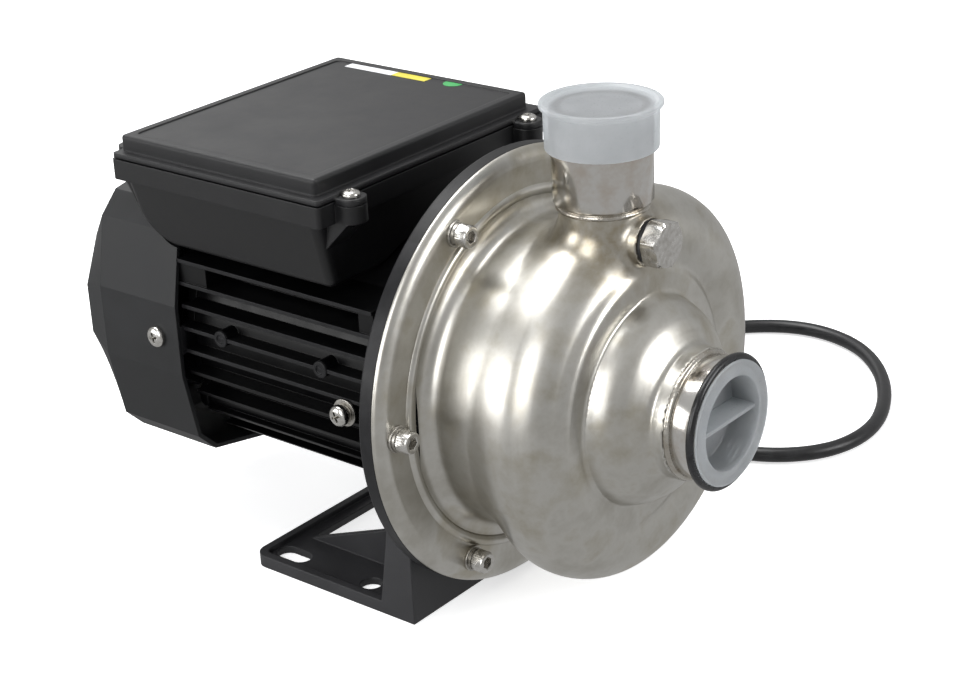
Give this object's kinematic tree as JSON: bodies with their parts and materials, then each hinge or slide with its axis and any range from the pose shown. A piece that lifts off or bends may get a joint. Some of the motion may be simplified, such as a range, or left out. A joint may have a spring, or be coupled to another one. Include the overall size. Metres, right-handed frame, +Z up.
{
  "type": "centrifugal pump",
  "caption": "Close-coupled stainless centrifugal pump with finned motor, terminal box, foot, capped ports and mains lead.",
  "frame": {"origin": "on the foot's underside, midway between the two front foot holes", "axes": "+Z up along the discharge port, -Y towards the suction port along the shaft, +X to the side of the cable gland"},
  "size_m": [0.4098, 0.4005, 0.235],
  "materials": {
    "pickled_steel": "satin pickled stainless",
    "polished_steel": "polished stainless",
    "screw_steel": "bright",
    "washer_steel": "satin",
    "inner_steel": "machined",
    "black_paint": "satin black paint",
    "box_plastic": "matt moulded",
    "cowl_plastic": "satin moulded",
    "foot_plastic": "satin moulded",
    "inner_plastic": "moulded",
    "rubber": "smooth",
    "ceramic": "lapped",
    "copper": "varnished",
    "translucent_plastic": "milky translucent",
    "cord_rubber": "satin",
    "gland_plastic": "moulded",
    "plug_plastic": "moulded",
    "pin_metal": "nickel plated"
  },
  "bodies": {
    "pump": {"pump_casing": "pickled_steel", "suction_nipple": "polished_steel", "discharge_nipple": "polished_steel", "suction_o_ring": "rubber", "casing_o_ring": "rubber", "wear_sleeve": "inner_steel", "casing_screws": "screw_steel", "casing_spring_washers": "washer_steel", "casing_flat_washers": "washer_steel", "seal_plate": "inner_steel", "seal_seat": "ceramic", "motor_bracket": "black_paint", "bearing_outer_rings": "inner_steel", "bearing_balls": "inner_steel", "motor_frame": "black_paint", "stator_core": "inner_steel", "stator_winding": "copper", "rear_end_shield": "black_paint", "tie_rods": "screw_steel", "fan_cowl": "cowl_plastic", "cowl_screws": "screw_steel", "earth_screw": "screw_steel", "earth_washers": "washer_steel", "foot": "foot_plastic", "foot_screws": "screw_steel", "terminal_box_base": "box_plastic", "box_gasket": "rubber", "lid_gasket": "rubber", "terminal_box_lid": "box_plastic", "lid_screws": "screw_steel", "capacitor": "inner_plastic", "capacitor_clip": "inner_steel", "terminal_block": "inner_plastic", "cable_gland": "gland_plastic", "gland_nut": "gland_plastic", "power_cord": "cord_rubber", "cord_coil": "cord_rubber", "power_plug": "plug_plastic", "plug_pins": "pin_metal"},
    "rotor": {"shaft": "inner_steel", "impeller": "inner_steel", "impeller_nut": "screw_steel", "seal_face": "ceramic", "seal_bellows": "rubber", "seal_spring": "inner_steel", "slinger": "rubber", "rotor_core": "inner_steel", "bearing_inner_rings": "inner_steel", "fan": "inner_plastic", "fan_clip": "screw_steel"},
    "cap": {"discharge_cap": "translucent_plastic"},
    "suction_closure": {"suction_plug": "translucent_plastic"},
    "vent_seal": {"vent_washer": "rubber"},
    "vent": {"vent_plug": "screw_steel"}
  },
  "joints": [
    {"name": "rotor_spin", "type": "hinge", "parent": "pump", "child": "rotor", "pos_m": [0, 0, 0.105], "axis": [0, 1, 0], "continuous": true},
    {"name": "cap_lift", "type": "slide", "parent": "pump", "child": "cap", "axis": [0, 0, 1], "range_m": [0, 0.045]},
    {"name": "plug_pull", "type": "slide", "parent": "pump", "child": "suction_closure", "axis": [0, -1, 0], "range_m": [0, 0.035]},
    {"name": "vent_travel", "type": "slide", "parent": "pump", "child": "vent_seal", "axis": [0, -1, 0], "range_m": [0, 0.0091]},
    {"name": "vent_turn", "type": "hinge", "parent": "vent_seal", "child": "vent", "pos_m": [0, -0.1275, 0.178], "axis": [0, -1, 0], "range_deg": [0, 2160]}
  ],
  "couplings": [
    {"joint": "vent_travel", "follows": "vent_turn", "m_per_rad": 0.00023873}
  ]
}
